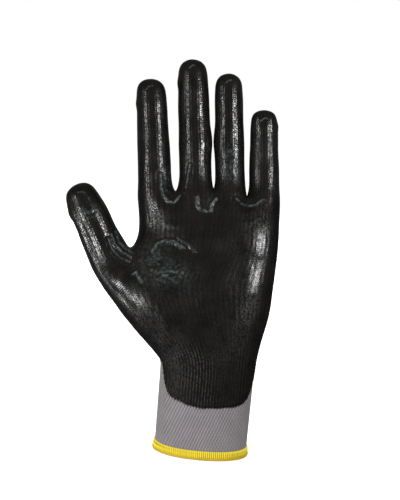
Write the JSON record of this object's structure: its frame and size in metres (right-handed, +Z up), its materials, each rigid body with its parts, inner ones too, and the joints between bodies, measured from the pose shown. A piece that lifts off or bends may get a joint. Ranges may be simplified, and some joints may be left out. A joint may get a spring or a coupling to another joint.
{
  "type": "work glove",
  "caption": "Knitted work glove for the left hand with a black dipped coating over the palm and fingertips, a ribbed cuff and a yellow overlocked hem.",
  "frame": {"origin": "middle of the glove's footprint, on the plane its hem stands on", "axes": "+Z up along the cuff towards the fingertips, -Y the way the palm faces, -X towards the thumb and +X towards the little finger"},
  "size_m": [0.1334, 0.0534, 0.243],
  "materials": {
    "knit": "matt knit",
    "coating": "semi-gloss dipped film with the knit showing through",
    "binding": "matt overlock thread",
    "elastic": "matt"
  },
  "bodies": {
    "cuff": {"cuff_liner": "knit", "cuff_coat": "coating", "cuff_hem": "binding", "cuff_elastic": "elastic"},
    "wrist": {"wrist_liner": "knit", "wrist_coat": "coating"},
    "palm": {"palm_liner": "knit", "palm_coat": "coating"},
    "knuckles": {"knuckles_liner": "knit", "knuckles_coat": "coating"},
    "index_proximal": {"index_proximal_liner": "knit", "index_proximal_coat": "coating"},
    "index_middle": {"index_middle_liner": "knit", "index_middle_coat": "coating"},
    "index_distal": {"index_distal_liner": "knit", "index_distal_coat": "coating"},
    "middle_proximal": {"middle_proximal_liner": "knit", "middle_proximal_coat": "coating"},
    "middle_middle": {"middle_middle_liner": "knit", "middle_middle_coat": "coating"},
    "middle_distal": {"middle_distal_liner": "knit", "middle_distal_coat": "coating"},
    "ring_proximal": {"ring_proximal_liner": "knit", "ring_proximal_coat": "coating"},
    "ring_middle": {"ring_middle_liner": "knit", "ring_middle_coat": "coating"},
    "ring_distal": {"ring_distal_liner": "knit", "ring_distal_coat": "coating"},
    "little_proximal": {"little_proximal_liner": "knit", "little_proximal_coat": "coating"},
    "little_middle": {"little_middle_liner": "knit", "little_middle_coat": "coating"},
    "little_distal": {"little_distal_liner": "knit", "little_distal_coat": "coating"},
    "thumb_root": {"thumb_root_liner": "knit", "thumb_root_coat": "coating"},
    "thumb_proximal": {"thumb_proximal_liner": "knit", "thumb_proximal_coat": "coating"},
    "thumb_distal": {"thumb_distal_liner": "knit", "thumb_distal_coat": "coating"}
  },
  "joints": [
    {"name": "wrist_bend", "type": "hinge", "parent": "cuff", "child": "wrist", "pos_m": [0.02912, -0.00307, 0.047], "axis": [1, 0, 0], "range_deg": [-30, 35], "stiffness_Nm_per_rad": 1},
    {"name": "wrist_tilt", "type": "hinge", "parent": "wrist", "child": "palm", "pos_m": [0.02852, -0.0021, 0.06791], "axis": [-0.0121, -0.9903, 0.1386], "range_deg": [-15, 15], "stiffness_Nm_per_rad": 1},
    {"name": "knuckle_fold", "type": "hinge", "parent": "palm", "child": "knuckles", "pos_m": [0.02219, 0.00608, 0.1402], "axis": [0.9962, 0, 0.0872], "range_deg": [0, 30], "stiffness_Nm_per_rad": 0.3},
    {"name": "index_base", "type": "hinge", "parent": "knuckles", "child": "index_proximal", "pos_m": [-0.01335, 0.00886, 0.16417], "axis": [0.9962, 0, 0.0872], "range_deg": [-5, 50]},
    {"name": "index_middle", "type": "hinge", "parent": "index_proximal", "child": "index_middle", "pos_m": [-0.01645, 0.01191, 0.18854], "axis": [0.9962, 0, 0.0872], "range_deg": [0, 75]},
    {"name": "index_tip", "type": "hinge", "parent": "index_middle", "child": "index_distal", "pos_m": [-0.01898, 0.01394, 0.2085], "axis": [0.9962, 0, 0.0872], "range_deg": [0, 45]},
    {"name": "middle_base", "type": "hinge", "parent": "knuckles", "child": "middle_proximal", "pos_m": [0.01182, 0.00914, 0.16836], "axis": [0.9962, 0, 0.0872], "range_deg": [-5, 50]},
    {"name": "middle_middle", "type": "hinge", "parent": "middle_proximal", "child": "middle_middle", "pos_m": [0.00855, 0.01278, 0.19693], "axis": [0.9962, 0, 0.0872], "range_deg": [0, 75]},
    {"name": "middle_tip", "type": "hinge", "parent": "middle_middle", "child": "middle_distal", "pos_m": [0.00593, 0.01523, 0.21993], "axis": [0.9962, 0, 0.0872], "range_deg": [0, 45]},
    {"name": "ring_base", "type": "hinge", "parent": "knuckles", "child": "ring_proximal", "pos_m": [0.03297, 0.00914, 0.17021], "axis": [0.9962, 0, 0.0872], "range_deg": [-5, 50]},
    {"name": "ring_middle", "type": "hinge", "parent": "ring_proximal", "child": "ring_middle", "pos_m": [0.03056, 0.01218, 0.19461], "axis": [0.9962, 0, 0.0872], "range_deg": [0, 75]},
    {"name": "ring_tip", "type": "hinge", "parent": "ring_middle", "child": "ring_distal", "pos_m": [0.02852, 0.01431, 0.21529], "axis": [0.9962, 0, 0.0872], "range_deg": [0, 45]},
    {"name": "little_base", "type": "hinge", "parent": "knuckles", "child": "little_proximal", "pos_m": [0.05488, 0.00825, 0.16576], "axis": [0.9962, 0, 0.0872], "range_deg": [-5, 50]},
    {"name": "little_middle", "type": "hinge", "parent": "little_proximal", "child": "little_middle", "pos_m": [0.05313, 0.01056, 0.18497], "axis": [0.9962, 0, 0.0872], "range_deg": [0, 75]},
    {"name": "little_tip", "type": "hinge", "parent": "little_middle", "child": "little_distal", "pos_m": [0.05174, 0.01191, 0.20018], "axis": [0.9962, 0, 0.0872], "range_deg": [0, 45]},
    {"name": "thumb_swing", "type": "hinge", "parent": "palm", "child": "thumb_root", "pos_m": [-0.02388, -0.00084, 0.10116], "axis": [0.1014, 0.1864, 0.9772], "range_deg": [-10, 30], "stiffness_Nm_per_rad": 0.1},
    {"name": "thumb_bend", "type": "hinge", "parent": "thumb_root", "child": "thumb_proximal", "pos_m": [-0.03869, -0.00172, 0.12182], "axis": [0.8001, 0.3959, 0.4507], "range_deg": [0, 20]},
    {"name": "thumb_tip", "type": "hinge", "parent": "thumb_proximal", "child": "thumb_distal", "pos_m": [-0.04867, -0.00173, 0.13955], "axis": [0.8001, 0.3959, 0.4507], "range_deg": [0, 40]}
  ],
  "couplings": [
    {"joint": "index_tip", "follows": "index_middle", "ratio": 0.6},
    {"joint": "middle_tip", "follows": "middle_middle", "ratio": 0.6},
    {"joint": "ring_tip", "follows": "ring_middle", "ratio": 0.6},
    {"joint": "little_tip", "follows": "little_middle", "ratio": 0.6}
  ]
}
